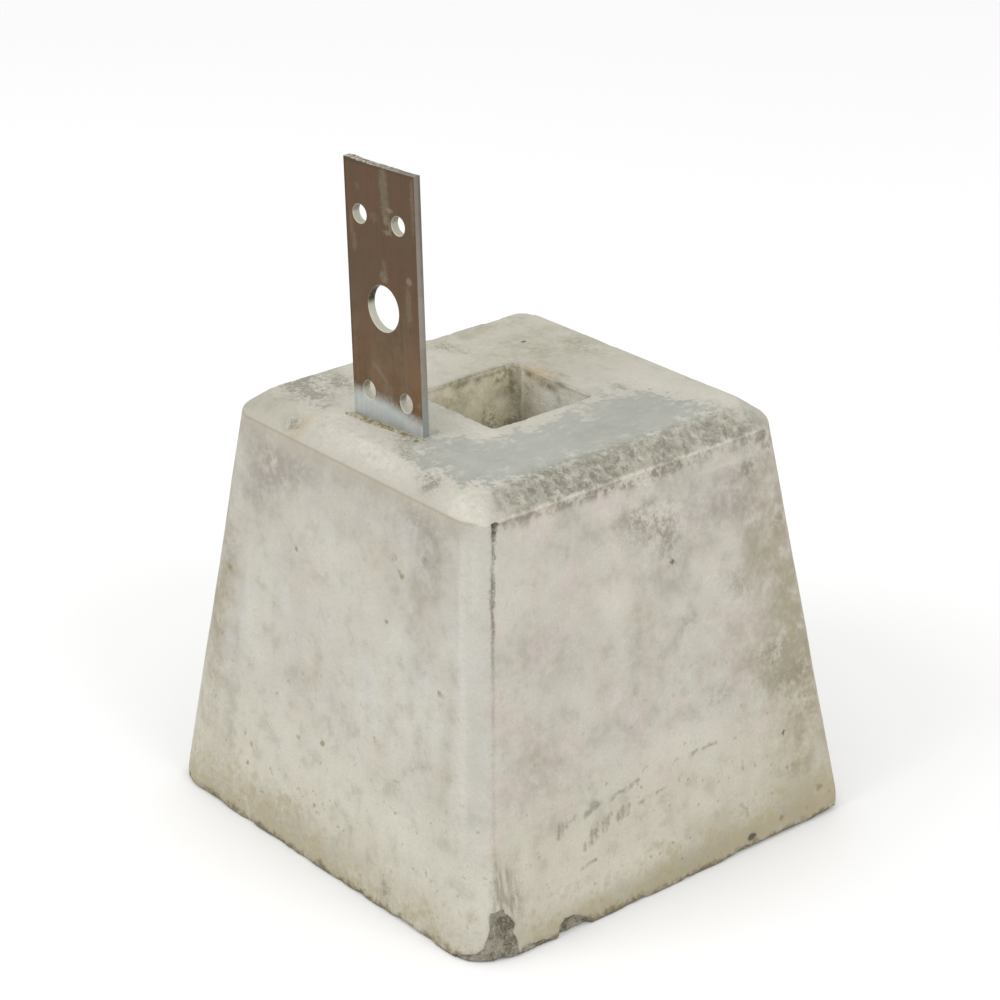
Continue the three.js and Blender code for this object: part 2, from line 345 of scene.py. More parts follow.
# The seen walls of the mortise: on the -X one the place is y and z, on the +Y one x and z
# Pale marks in the mortise are painted light; the wide one on the +Y wall brightens most of that wall
MORTISE_LEFT_MARKS = {
    "moss": [
        (-8.5, 149.0, 5, 1.2, 0.75), (-3.0, 147.6, 3, 2.2, 0.9), (1.6, 148.8, 4, 1.5, 0.6),
        (6.5, 147.8, 3, 1.6, 0.75), (11.5, 148.4, 4, 2.2, 0.8), (16.5, 148.6, 3, 2.6, 0.7),
        (18.6, 146.6, 3.5, 3.4, 0.8), (20.6, 142.0, 2.4, 7, 0.5), (13.5, 145.0, 3, 1.4, 0.6),
        (18.0, 140.5, 4.5, 2.2, 0.6),
    ],
    "grime": [
        (9.8, 133.4, 2.6, 3.8, 1.0), (9.6, 129.5, 3.5, 4, 0.7), (20.4, 132.0, 2.0, 8, 0.4),
        (17.5, 127.0, 5, 3, 0.6),
    ],
    "pale": [(16.5, 136.0, 3.5, 2.4, 0.3), (4.0, 147.6, 3, 1.2, 0.3)],
    "olive": [(-2.0, 143.0, 12, 4, 0.5), (-14.0, 140.0, 8, 8, 0.4)],
}
MORTISE_RIGHT_MARKS = {
    "pale": [
        (-19.4, 141.0, 1.6, 9, 0.5), (-3.0, 144.0, 5, 2.4, 0.3), (4.0, 139.0, 18, 18, 1.2),
        (-6.0, 139.0, 3, 3, 0.4),
    ],
    "moss": [
        (-14.4, 147.4, 2.6, 1.3, 0.9), (-9.0, 145.6, 2.2, 1.1, 0.4), (-3.6, 146.6, 3.4, 1.6, 1.1),
        (1.6, 148.8, 3.4, 1.1, 0.9), (-7.4, 147.8, 2, 0.9, 0.6),
    ],
    "orange": [(-14.0, 148.8, 3.4, 2.0, 0.8), (-8.0, 147.6, 4.2, 2.2, 1.0), (4.5, 146.6, 2.6, 1.4, 0.35)],
    "grime": [
        (-14.6, 143.0, 2.2, 3, 0.35), (-16.6, 137.0, 1.4, 8, 0.4), (-13.4, 136.0, 2.4, 5, 0.3),
        (-9.6, 138.0, 0.9, 5, 0.35), (0.6, 143.4, 1.6, 1.2, 0.4),
    ],
    "mauve": [(-14.0, 141.0, 4.5, 9, 0.25)],
}
# Small pits on the left (-Y) and right (+X) walls: place along the wall, height, radius, depth
PITS = {
    "right": [
        (10.6, 110.5, 1.2, 1.0), (54, 36.5, 1.1, 0.6), (65.7, 45.8, 0.9, 0.5), (54.5, 23.5, 0.9, 0.5),
        (36, 3.4, 2.0, 1.4), (50, 5.6, 1.4, 0.6), (69, 11.3, 1.8, 0.5), (-60.6, 142.6, 1.4, 0.9),
        (-61.2, 139.0, 1.1, 0.7),
    ],
    "left": [
        (25.8, 99, 1.0, 0.5), (-2.6, 44.8, 1.2, 0.5), (50.8, 42.8, 0.8, 0.4), (-4.7, 21.6, 0.9, 0.4),
        (-42, 29, 0.9, 0.4), (36.2, 6.5, 1.1, 0.7),
    ],
}
# Grey skin of fine cement left on the seat, its outline seen from above
FILM_EDGE = [
    (22, 31), (30, 39), (41, 45), (51, 45), (57, 30), (57.5, -21), (57, -47), (54, -54), (50, -53.5),
    (46, -58), (38, -60), (29, -60), (21, -57), (14, -50), (9, -45), (7, -40), (12, -37), (18, -34),
    (24, -29), (26, -15), (27, -2), (25, 9), (22, 21),
]
# The break at the front corner: distance from the seam (less than 0 on the corner strip) and height
BREAK_EDGE = [
    (-1.2, 18.2), (-1.9, 17.0), (-1.7, 13.4), (-2.7, 9.6), (-4.0, 6.2), (-6.0, 4.2), (-9.6, 2.9),
    (-14.6, 1.9), (-17.0, -7.0), (11.5, -7.0), (10.4, 1.0), (9.8, 4.0), (8.6, 7.4), (7.4, 9.6), (8.6, 11.6),
    (7.0, 14.0), (4.6, 16.4), (3.6, 18.2),
]
# Bites out of the foot's edge on the +X side: places along it and heights, then how deep
FOOT_BITES = [
    ([(-52.3, -1), (-51.8, 3.8), (-49.4, 5.5), (-46, 5.8), (-43.2, 4.8), (-39.6, 2.7), (-37.2, -1)], 2.6),
    ([(-69, -1), (-68, 2.6), (-64, 2.9), (-60, 2.4), (-55.5, 1.6), (-53, -1)], 0.9),
    ([(26, -1), (29, 1.0), (33, 1.2), (36, -1)], 0.6),
]
# Wear that lifts the foot's edge: place along the wall, reach, lift
FOOT_WEAR = {
    "left": [
        (-70, 12, 0.5), (-60, 4.0, 0.5), (-39, 2.0, 0.8), (-6, 1.6, 0.4), (22, 2.5, 0.4), (36, 2.2, 0.4),
        (44, 5.0, 0.4), (51, 2.0, 0.4), (60, 3.0, 0.3),
    ],
    "right": [
        (31, 10, 0.6), (44, 12, 0.9), (60, 14, 1.1), (74, 7, 1.2), (80, 7, 2.2), (5, 2.0, 0.5),
        (-73, 4, 0.6),
    ],
}
# Scuffs on the +X wall: start, end, half width; strokes short enough to say nothing
SCUFFS = [
    ((-48.2, 33.6), (-47.4, 37.6), 0.5), ((-46.6, 34.4), (-45.8, 38.0), 0.45),
    ((-44.6, 36.6), (-44.2, 38.6), 0.4), ((-42.2, 37.8), (-40.2, 38.6), 0.3),
    ((-35.8, 37.6), (-30.0, 39.6), 0.9), ((-34.6, 39.4), (-31.0, 41.0), 0.5),
    ((-25.0, 39.3), (-23.4, 39.8), 0.4), ((-22.0, 40.4), (-12.2, 41.6), 0.45),
    ((-17.5, 40.0), (-12.6, 41.9), 0.5), ((2.4, 42.4), (5.2, 43.0), 0.4), ((10.8, 42.4), (14.0, 43.2), 0.5),
    ((16.6, 43.0), (22.8, 43.3), 0.4), ((-37.8, 26.0), (-37.4, 28.5), 0.35),
    ((-34.9, 27.6), (-34.2, 31.6), 0.75), ((-32.8, 28.4), (-32.2, 31.8), 0.6),
    ((-29.6, 29.8), (-28.8, 33.6), 0.55), ((-27.2, 30.6), (-26.6, 34.0), 0.5),
    ((-22.6, 31.0), (-22.0, 34.2), 0.6), ((-20.8, 31.6), (-20.2, 34.6), 0.6),
    ((-18.2, 32.0), (-17.4, 34.8), 0.55), ((-13.2, 33.6), (-10.6, 34.4), 0.35),
    ((-9.6, 34.4), (-0.8, 35.4), 0.35), ((-40.0, 20.0), (-34.0, 21.4), 0.25),
    ((31.6, 18.2), (34.6, 12.6), 0.4),
]
# Spots: place on the side, radius
BROWN_SPOTS = {
    "left": [
        (-23.7, 107, 1.2), (25.8, 99, 1.1), (-2.6, 44.8, 1.4), (-2.9, 37.5, 1.2), (-42, 29, 1.1),
        (-4.7, 21.6, 1.0), (32.2, 116.6, 1.3), (55, 85, 1.4), (-60, 88, 1.4), (-61, 78.5, 1.1),
        (-43, 21.5, 1.0), (9, 19, 0.8), (-29, 53.5, 0.8), (30.6, 117.6, 0.9), (57, 84.6, 1.0),
        (-64, 95, 1.0),
    ],
    "right": [(50, 6, 1.5), (69, 11.3, 1.7), (45.5, 30.5, 0.9), (57, 24, 1.0)],
}
# Dark spots: those on the pits, and the one on the chip under the far end of the +X shoulder, are painted
# shade in these hollows
DARK_SPOTS_AND_PIT_SHADE = {
    "right": [
        (10.6, 110.5, 1.5), (54, 36.5, 1.4), (65.7, 45.8, 1.2), (54.5, 23.5, 1.1), (36, 3.6, 2.2),
        (-60.2, 142.4, 1.7), (-61.0, 138.9, 1.5), (21.5, 22.3, 0.8), (12.6, 109.4, 0.7), (-14, 103, 0.6),
        (62.5, 141.6, 1.5),
    ],
    "left": [(50.8, 42.8, 0.7), (36.2, 6.5, 1.1)],
    "top": [(-35.5, 36.5, 1.5), (-27.5, 33.5, 0.8), (10.5, -48.2, 1.2)],
}


class Skin:
    """The block's smooth skin as a grid of points, and what its wear and its marks are placed by: the way
    numbers of block_rows, the directions square to it, how much it faces each seen side, and the seam."""

    def __init__(self):
        self.smooth, way = block_rows()
        self.way = np.repeat(way[:, None], self.smooth.shape[1], axis=1)
        self.x, self.y, self.z = (self.smooth[..., k] for k in range(3))
        self.normal = grid_normals(self.smooth)
        self.on_left = ease(-self.normal[..., 1], 0.5, 0.8)
        self.on_right = ease(self.normal[..., 0], 0.6, 0.9)
        self.on_top = ease(self.normal[..., 2], 0.2, 0.5)
        self.wall = ease(self.way, 0.9, 1.0) * (1 - ease(self.way, 1.97, 2.0))
        self.in_mortise = ease(self.way, 3.98, 4.03)
        self.from_seam, self.to_seam = seam_distances(self.smooth)


def seam_distances(smooth):
    """Distance of every point from the last column of the corner strip, less than 0 on the strip, and
    from the seam, which drifts off that column by a share of the height plus grain. The far half of the
    block has 99."""
    column = SEAM_STRIP_COLUMNS - 1
    line = smooth[:, column : column + 1]
    from_seam = np.linalg.norm(smooth - line, axis=2)
    from_seam[:, :column] *= -1
    from_seam[:, smooth.shape[1] // 2 :] = 99
    drift = -0.6 + 0.0175 * (line[..., 2] - 23) + 0.3 * grain(line * (0, 0, 1), 6, 4)
    return from_seam, from_seam - drift


def roughened(s):
    """Moves along the normals by three sizes of grain, roughest in the mortise, less what is worn off the
    shoulder, the seat's edge and the mortise's rim."""
    shoulder = bell(s.way - 2.0, 0.03)
    rims = bell(s.way - 3.0, 0.08) + bell(s.way - 4.0, 0.035)
    uneven = 0.16 * grain(s.smooth, 24, 1) + 0.05 * rough_grain(s.smooth, 7, 2)
    uneven += 0.05 * rough_grain(s.smooth, 3.2, 5) * (0.5 + s.in_mortise * 4)
    uneven -= 0.4 * (shoulder * 0.6 + rims) * ease(rough_grain(s.smooth, 5.0, 9), 0.1, 0.7)
    return s.normal * (uneven * ease(s.way, 0.93, 1.0))[..., None]


def worn_foot(s):
    """Moves of the lower edge: crumbled inwards in places by grain, and lifted and drawn in where it is
    worn, by a bell round each place of FOOT_WEAR."""
    outer = s.way < 1.5
    crumble = ease(rough_grain(s.smooth * (1, 1, 0.3), 6.0, 12), 0.0, 0.8)
    crumble = crumble * bell(s.z, 2.2) * ease(s.way, 0.93, 0.99) * outer
    lift = 0.5 * ease(rough_grain(s.smooth * (1, 1, 0.0), 9.0, 17), 0.1, 0.8)
    for side, along, here in (("left", s.x, s.y < -76), ("right", s.y, s.x > 76)):
        for place, reach, height in FOOT_WEAR[side]:
            lift = lift + height * bell(along - place, reach) * here
    lift = lift * bell(s.z, 4.0) * ease(s.way, 0.95, 0.985) * outer
    moved = -s.normal * (0.9 * crumble + 0.35 * lift)[..., None]
    moved[..., 2] = lift
    return moved


def pressed_in(s):
    """Moves against the normals: the mould seam scored in the upper part of the corner, and each pit, a
    bell round its place."""
    depth = 0.45 * ease(s.z, 58, 85) * (1 - ease(s.z, 143.0, 144.5)) * s.wall * bell(s.to_seam, 0.4)
    for side, across, facing in (("left", s.x, s.on_left), ("right", s.y, s.on_right)):
        for place, height, radius, pit in PITS[side]:
            depth = depth + pit * bell(np.hypot(across - place, s.z - height), radius) * facing
    return -s.normal * depth[..., None]


def broken_out(s):
    """Moves of the stone at the broken corner and the bites out of the foot's edge, and how far inside a
    break each point lies. Inside its outline a break goes in steeply, then more slowly, with lumps of
    grain."""
    near_foot = ease(s.way, 0.9, 0.97) * (s.way < 1.5)

    def pushed(direction, hollow):
        return np.array(direction) * (np.clip(hollow, 0, None) * near_foot)[..., None]

    ragged = 0.5 * rough_grain(s.smooth, 3.0, 31)
    broken = polygon_distance(s.from_seam, s.z, BREAK_EDGE) + ragged
    hollow = 0.65 * ease(broken, -0.1, 0.25) + 2.4 * ease(broken, 0.0, 4.5) * bell(s.from_seam - 0.5, 6.5)
    lumps = 0.8 * rough_grain(s.smooth, 4.6, 41) + 0.3 * grain(s.smooth, 2.0, 42)
    moved = pushed((-0.8, 0.58, 0.12), hollow + ease(broken, 0.0, 0.8) * lumps)
    for corners, depth in FOOT_BITES:
        inside = polygon_distance(s.y, s.z, corners) + 0.5 * ragged - ELSEWHERE * (s.x < 60)
        hollow = depth * (0.35 * ease(inside, -0.1, 0.3) + 0.65 * ease(inside, 0.0, 3.0))
        hollow = hollow + ease(inside, 0.0, 0.8) * 0.3 * rough_grain(s.smooth, 2.2, 43)
        moved = moved + pushed((-0.93, 0.0, 0.36), hollow)
        broken = np.maximum(broken, inside)
    return moved, np.where(near_foot > 0.5, broken, -ELSEWHERE)


def toned(s):
    """The number of each tone: the sum of a bell for every mark, and clouds of grain on the two hidden
    walls and round the far corner of the +X wall."""
    names = ("mauve", "olive", "pale", "grime", "mould", "moss", "orange", "streak")
    tones = {name: np.zeros(s.way.shape) for name in names}
    outside = 1 - s.in_mortise
    for marks, across, along, facing in (
        (LEFT_WALL_MARKS, s.x, s.z, s.on_left * outside), (RIGHT_WALL_MARKS, s.y, s.z, s.on_right * outside),
        (TOP_MARKS, s.x, s.y, s.on_top), (MORTISE_LEFT_MARKS, s.y, s.z, s.in_mortise * (s.x < -19)),
        (MORTISE_RIGHT_MARKS, s.x, s.z, s.in_mortise * (s.y > 18.5)),
    ):
        for tone, places in marks.items():
            for u, v, reach_u, reach_v, strength in places:
                tones[tone] += strength * bell(across - u, reach_u) * bell(along - v, reach_v) * facing
    hidden = ease(s.y - s.x, 30, 90) * s.wall
    beyond_corner = bell(s.x - 74, 14) * ease(s.normal[..., 1], 0.3, 0.8) * s.wall
    for tone, where, strength, size, seed, low, high in (
        ("olive", hidden, 0.35, 30, 51, -0.4, 0.6), ("mauve", hidden, 0.4, 26, 52, -0.2, 0.6),
        ("grime", hidden, 0.35, 18, 53, 0.2, 0.8), ("olive", beyond_corner, 0.6, 22, 54, -0.9, 0.3),
    ):
        tones[tone] += strength * where * ease(grain(s.smooth, size, seed), low, high)
    return {name: np.clip(field, 0, 1.2) for name, field in tones.items()}


def scuffed(s):
    """How far inside the nearest scuff each point lies, kept to the outer +X wall."""
    off_wall = ELSEWHERE * (1 - s.on_right + (s.x < 40))
    strokes = [half_width - pen_distance(s.y, s.z, start, end) for start, end, half_width in SCUFFS]
    return np.clip(np.max(strokes, axis=0) - off_wall, -3, 2)


def spotted(s, spots):
    """How far inside the nearest of the spots each point lies, kept to their sides."""
    field = np.full(s.x.shape, -3.0)
    places = {
        "left": (s.x, s.z, s.on_left * (s.y < -40)),
        "right": (s.y, s.z, s.on_right * (s.x > 40)),
        "top": (s.x, s.y, s.on_top),
    }
    for side, marks in spots.items():
        across, along, facing = places[side]
        for u, v, radius in marks:
            inside = radius - np.hypot(across - u, along - v) - ELSEWHERE * (1 - facing)
            field = np.maximum(field, inside)
    return np.clip(field, -3, 3)


def build_block():
    """The worn concrete block: the skin of block_rows, roughened along its normals by grain, its lower edge
    crumbled, its corner and edge broken out, its pits pressed in and its mould seam scored. A fan of faces
    closes each end of the grid."""
    s = Skin()
    torn, broken = broken_out(s)
    points = s.smooth + roughened(s) + worn_foot(s) + pressed_in(s) + torn
    on_underside = s.way < 0.9
    points[..., 2] = np.where(on_underside, 0.0, np.maximum(points[..., 2], 0.0))

    rows, columns = s.way.shape
    flat = np.vstack([points.reshape(-1, 3), points[0].mean(axis=0), points[-1].mean(axis=0)])
    pole, last_row = rows * columns, (rows - 1) * columns
    ring = [(k, (k + 1) % columns) for k in range(columns)]
    caps = [(pole, b, a) for a, b in ring] + [(pole + 1, last_row + a, last_row + b) for a, b in ring]
    block = make_object("weathered_block", flat, grid_faces(rows, columns).tolist() + caps)

    numbers = toned(s)
    numbers["way"] = s.way
    numbers["right_side"] = s.on_right * (s.x > 40)
    numbers["seam"] = np.clip(s.to_seam, -14, 9)
    numbers["broken"] = np.clip(broken, -4, 6)
    numbers["film"] = np.clip(np.where(s.way > 2.9, polygon_distance(s.x, s.y, FILM_EDGE), -30), -30, 30)
    numbers["scuff"] = scuffed(s)
    numbers["brown_spot"] = spotted(s, BROWN_SPOTS)
    numbers["dark_spot_and_pit_shade"] = spotted(s, DARK_SPOTS_AND_PIT_SHADE)
    for name, field in numbers.items():
        give_numbers(block, name, np.append(field.ravel(), [field[0].mean(), field[-1].mean()]))
    return block


# The strap

STRAP_EDGE_ROUND = 0.28
CELL_COLUMNS = 24
QUARTER_TURN = np.linspace(0, math.pi / 2, 4)


def from_strap(local):
    """Points across, through and up the strap, moved to where it stands in the block."""
    turned = np.array(STRAP_FRAME)
    return local @ turned[:3, :3].T + turned[:3, 3]


def cell_rows():
    """Heights of the strap's rows of cells and the points between them: each hole has a cell of its own."""
    marks = [STRAP_BOTTOM + STRAP_EDGE_ROUND, 2.0, 18.2, 28.8, 51.8, 62.5, 78.7, STRAP_TOP - STRAP_EDGE_ROUND]
    steps = [10, 12, 6, 18, 6, 12, 8]
    return [np.linspace(marks[i], marks[i + 1], steps[i] + 1) for i in range(len(steps))]


def at_depth(flat, w):
    """Points across and up the strap, put at one depth."""
    return np.column_stack([flat[:, 0], np.full(len(flat), w), flat[:, 1]])


def border_of(across, upright):
    """The points round a cell, from its lower left corner along its lower side."""
    return np.concatenate([
        np.column_stack([across[:-1], np.full(len(across) - 1, upright[0])]),
        np.column_stack([np.full(len(upright) - 1, across[-1]), upright[:-1]]),
        np.column_stack([across[::-1][:-1], np.full(len(across) - 1, upright[-1])]),
        np.column_stack([np.full(len(upright) - 1, across[0]), upright[::-1][:-1]]),
    ])


def holed_cell(across, upright, hole):
    """Both faces of a cell and the wall of its hole, as one grid. Each column runs from a point of the
    cell's border to the hole's rim, over the rounded edge, through the hole and out to the same border
    point on the other face: a straight run, a quarter circle, a straight wall and the same back again."""
    middle, radii = np.array(hole[:2]), np.array(hole[2:])
    border = border_of(across, upright)
    angle = np.arctan2(*((border - middle) / radii).T[::-1])
    around = np.column_stack([np.cos(angle), np.sin(angle)])
    profile = [(share, STRAP_EDGE_ROUND, 0.0) for share in (1.0, 0.7, 0.42, 0.2, 0.07)]
    for a in QUARTER_TURN:
        profile.append((0.0, STRAP_EDGE_ROUND * (1 - math.sin(a)), -STRAP_EDGE_ROUND * (1 - math.cos(a))))
    profile += [(share, beyond, -STRAP_THICKNESS - w) for share, beyond, w in profile[::-1]]
    rows = []
    for share, beyond, w in profile:
        rim = middle + around * (radii + beyond)
        rows.append(at_depth(rim + (border - rim) * share, w))
    return np.array(rows)


def outer_edge(across, upright):
    """The strap's outer edge: a profile of two quarter circles and a wall, carried round the border."""
    border = border_of(across, upright)
    nearly = 1e-6
    out = np.column_stack([
        (border[:, k] >= border[:, k].max() - nearly) * 1.0 - (border[:, k] <= border[:, k].min() + nearly)
        for k in range(2)
    ])
    profile = [(math.sin(a), -STRAP_THICKNESS + STRAP_EDGE_ROUND * (1 - math.cos(a))) for a in QUARTER_TURN]
    profile += [(share, -STRAP_THICKNESS - w) for share, w in profile[::-1]]
    return np.array([at_depth(border + out * STRAP_EDGE_ROUND * share, w) for share, w in profile])


def build_strap():
    """The strap: plain and holed cells over both faces, and an outer edge, welded into one skin. The cut at
    the top wavers a little, by grain and a slope."""
    half = STRAP_WIDTH / 2 - STRAP_EDGE_ROUND
    across = np.linspace(-half, half, CELL_COLUMNS + 1)
    left_cell, right_cell = across[: CELL_COLUMNS // 2 + 1], across[CELL_COLUMNS // 2 :]
    holes_in_row = {
        1: ((left_cell, NAIL_HOLES[0]), (right_cell, NAIL_HOLES[1])),
        3: ((across, BOLT_HOLE),),
        5: ((left_cell, NAIL_HOLES[2]), (right_cell, NAIL_HOLES[3])),
    }
    levels = cell_rows()
    points, faces = [], []

    def add_grid(grid, wrapped=True):
        first = sum(len(p) for p in points)
        faces.extend(grid_faces(*grid.shape[:2], first, wrapped).tolist())
        points.append(grid.reshape(-1, 3))

    for i, upright in enumerate(levels):
        for columns, hole in holes_in_row.get(i, ()):
            add_grid(holed_cell(columns, upright, hole))
        if i not in holes_in_row:
            u, v = np.meshgrid(across, upright, indexing="xy")
            add_grid(np.stack([u, np.full(u.shape, -STRAP_THICKNESS), v], -1), wrapped=False)
            add_grid(np.stack([u, np.zeros(u.shape), v], -1)[:, ::-1], wrapped=False)
    add_grid(outer_edge(across, np.unique(np.round(np.concatenate(levels), 6))))

    local = np.vstack(points)
    top = ease(local[:, 2], STRAP_TOP - 1.2, STRAP_TOP)
    along = np.column_stack([local[:, 0], np.zeros(len(local)), local[:, 1] * 0.4])
    local[:, 2] += top * (0.3 * rough_grain(along, 4.5, 61) - 0.12 - 0.02 * (local[:, 0] - 4))
    strap = make_object("punched_strap", from_strap(local), faces)
    for k, name in enumerate(("across", "depth", "height")):
        give_numbers(strap, name, local[:, k])
    weld = strap.modifiers.new("weld", "WELD")
    weld.merge_threshold = 0.02 * MM
    bpy.context.view_layer.objects.active = strap
    strap.select_set(True)
    bpy.ops.object.modifier_apply(modifier="weld")
    strap.data.shade_smooth()
    strap.data.set_sharp_from_angle(angle=math.radians(50))
    return strap


def build_mortar_lip():
    """The ragged bead of cement squeezed up along the strap's foot: a half-round profile whose width and
    height waver along the path, carried along the strap's front face and past its right edge, and tapered
    to nothing at both ends. Its flat side lies just under the seat, which it follows as the strap
    leans."""
    start, end = -19.5, 22.0
    stations = np.linspace(start, end, 150)
    turn = np.linspace(0, 2 * math.pi, 20, endpoint=False)
    s, a = np.meshgrid(stations, turn, indexing="ij")
    line = np.stack([s, np.zeros_like(s), np.zeros_like(s)], -1)
    taper = np.sqrt(ease(s, start, start + 4.0) * (1 - ease(s, end - 4.0, end)))
    width = (1.3 + 0.7 * rough_grain(line, 5.0, 71)) * taper + 0.02
    height = np.maximum(0.6 + 0.6 * rough_grain(line, 4.4, 73), 0.1) * taper + 0.02
    middle = -STRAP_THICKNESS - 1.75 + 0.35 * grain(line, 8.0, 75)
    lump = 1 + 0.2 * rough_grain(np.stack([s, np.cos(a) * 3, np.sin(a) * 3], -1), 1.7, 77)
    local = np.stack([
        s,
        middle + width * np.cos(a) * lump,
        np.where(np.sin(a) > 0, height * np.sin(a) * lump, 0.35 * np.sin(a)) - 0.12,
    ], -1)
    placed = from_strap(local.reshape(-1, 3))
    placed[:, 2] = placed[:, 2] - (placed[:, 0] + 6) * 0.0175
    faces = grid_faces(len(stations), len(turn)).tolist()
    last = (len(stations) - 1) * len(turn)
    faces.append(list(range(len(turn)))[::-1])
    faces.append([last + k for k in range(len(turn))])
    lip = make_object("mortar_lip", placed, faces)
    # the faces above the seat have to look up
    above_seat = (BLOCK_HEIGHT + 0.2) * MM
    if sum(p.normal.z * p.area for p in lip.data.polygons if p.center.z > above_seat) < 0:
        lip.data.flip_normals()
    return lip


# Finishes

# Share of the light that a surface sends back when it is seen as white under these lamps
WHITE_SHARE = 0.72


def rgb(red, green, blue):
    """A colour as seen on a screen, from 0 to 255, as the share of light that a surface of it sends
    back."""
    values = np.array((red, green, blue)) / 255
    light = np.where(values <= 0.04045, values / 12.92, ((values + 0.055) / 1.055) ** 2.4)
    return (*(light * WHITE_SHARE).tolist(), 1.0)


class Finish:
    """A node material under construction: each method adds nodes and returns the last one's output. The
    running colour is kept in colour, and lay puts a shade over it."""

    def __init__(self, name):
        self.material = bpy.data.materials.new(name)
        self.material.use_nodes = True
        self.tree = self.material.node_tree
        self.tree.nodes.clear()
        self.place = self.add("ShaderNodeTexCoord", {}).outputs["Object"]
        self.colour = None

    def add(self, kind, inputs, **settings):
        """A node with its settings; each input is linked to another node's output or set to a value."""
        node = self.tree.nodes.new(kind)
        for key, value in settings.items():
            setattr(node, key, value)
        for key, value in inputs.items():
            socket = node.inputs[key]
            if isinstance(value, bpy.types.NodeSocket):
                self.tree.links.new(value, socket)
            else:
                socket.default_value = value
        return node

    def number(self, name):
        """A number that the mesh stores for each of its points."""
        return self.add("ShaderNodeAttribute", {}, attribute_name=name).outputs["Fac"]

    def stretched(self, factors, place=None):
        """The place times a factor along each axis, which draws grain out where this is small."""
        inputs = {"Vector": place or self.place, "Scale": factors}
        return self.add("ShaderNodeMapping", inputs).outputs["Vector"]

    def noise(self, size, detail=2.0, roughness=0.5, place=None, shift=(0.0, 0.0, 0.0)):
        """Grain about size millimetres across, from 0 to 1. shift picks another part of it."""
        place = place or self.place
        if any(shift):
            place = self.add("ShaderNodeVectorMath", {0: place, 1: shift}, operation="ADD").outputs[0]
        inputs = {"Vector": place, "Scale": 1000.0 / size, "Detail": detail, "Roughness": roughness}
        return self.add("ShaderNodeTexNoise", inputs).outputs["Fac"]

    def math(self, operation, *values, clamp=False):
        inputs = dict(enumerate(values))
        return self.add("ShaderNodeMath", inputs, operation=operation, use_clamp=clamp).outputs[0]

    def joined(self, operation, values, clamp):
        """All the values put together by one operation, from the first to the last."""
        result = values[0]
        for value in values[1:]:
            result = self.math(operation, result, value, clamp=clamp)
        return result

    def times(self, *values, clamp=False):
        return self.joined("MULTIPLY", values, clamp)

    def plus(self, *values, clamp=False):
        return self.joined("ADD", values, clamp)

    def most(self, *values):
        return self.joined("MAXIMUM", values, False)

    def span(self, value, low, high, to_low=0.0, to_high=1.0):
        """value carried from low and high to to_low and to_high, in a smooth S."""
        inputs = {"Value": value, "From Min": low, "From Max": high, "To Min": to_low, "To Max": to_high}
        return self.add("ShaderNodeMapRange", inputs, interpolation_type="SMOOTHSTEP").outputs[0]

    def swayed(self, value, grain_of, reach, edge=0.2):
        """value moved up and down by a grain, by as much as reach."""
        return self.plus(value, self.span(grain_of, edge, 1 - edge, -reach, reach))

    def blend(self, share, first, second):
        """The first colour where share is 0, the second where it is 1."""
        return self.add("ShaderNodeMix", {0: share, 6: first, 7: second}, data_type="RGBA").outputs[2]

    def lay(self, share, shade, strength=None):
        """Puts a shade over the running colour, by share or by share times strength."""
        if strength is not None:
            share = self.times(share, strength)
        self.colour = self.blend(share, self.colour, shade)

    def axes(self):
        """The place along x, y and z, in millimetres."""
        node = self.add("ShaderNodeSeparateXYZ", {"Vector": self.place})
        return [self.times(node.outputs[k], 1000.0) for k in range(3)]

    def close(self, roughness, height=None, metallic=0.0, specular=0.3):
        """Shader and output, with height in millimetres as bump."""
        inputs = {"Base Color": self.colour, "Roughness": roughness, "Metallic": metallic}
        inputs["Specular IOR Level"] = specular
        if height is not None:
            relief = self.add("ShaderNodeBump", {"Height": height, "Distance": MM, "Strength": 1.0})
            inputs["Normal"] = relief.outputs["Normal"]
        shader = self.add("ShaderNodeBsdfPrincipled", inputs)
        self.add("ShaderNodeOutputMaterial", {"Surface": shader.outputs[0]})
        return self.material


# Concrete


class Concrete(Finish):
    """A finish with the block's own numbers and the grains that its layers share."""

    def __init__(self):
        super().__init__("weathered_concrete")
        self.y, self.z = self.axes()[1:]
        self.way, self.right_side = self.number("way"), self.number("right_side")
        self.cloud = self.noise(34, 2, 0.5)
        self.tint = self.noise(15, 2, 0.55, shift=(0.5, 0.2, 0.9))
        self.mottle = self.noise(8, 3, 0.6, shift=(0.3, 0.1, 0.7))
        self.fleck = self.noise(2.2, 2, 0.6, shift=(0.7, 0.5, 0.2))
        self.dust = self.noise(0.8, 1, 0.6, shift=(0.1, 0.9, 0.4))
        self.uneven = self.swayed(self.span(self.mottle, 0.2, 0.8, 0.45, 1.55), self.fleck, 0.45)
        self.in_hole = self.span(self.way, 3.99, 4.03)


